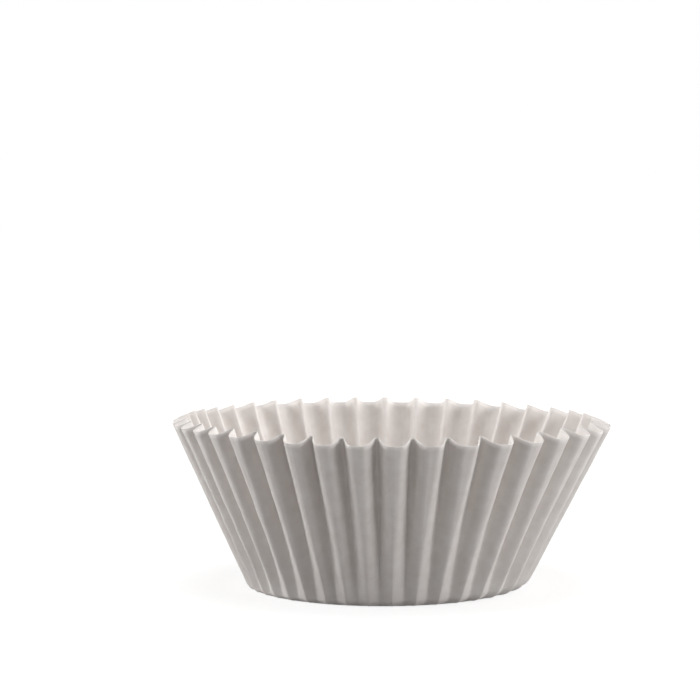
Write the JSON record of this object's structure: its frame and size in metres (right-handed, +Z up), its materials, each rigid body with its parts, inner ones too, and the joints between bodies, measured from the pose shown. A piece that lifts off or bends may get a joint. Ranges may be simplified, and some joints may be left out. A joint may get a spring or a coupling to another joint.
{
  "type": "cupcake liner",
  "caption": "Round pleated paper cupcake liner: one thin sheet pressed into a flat base and a flaring wall of radial pleats with a scalloped rim.",
  "frame": {"origin": "centre of the underside of the flat base, where the liner stands", "axes": "+Z up along the cup's axis, out of its mouth; +X to the right and -Y towards the viewer of the picture"},
  "size_m": [0.0795, 0.0795, 0.031],
  "materials": {
    "paper": "matte"
  },
  "bodies": {
    "root": {"liner": "paper"}
  },
  "joints": []
}
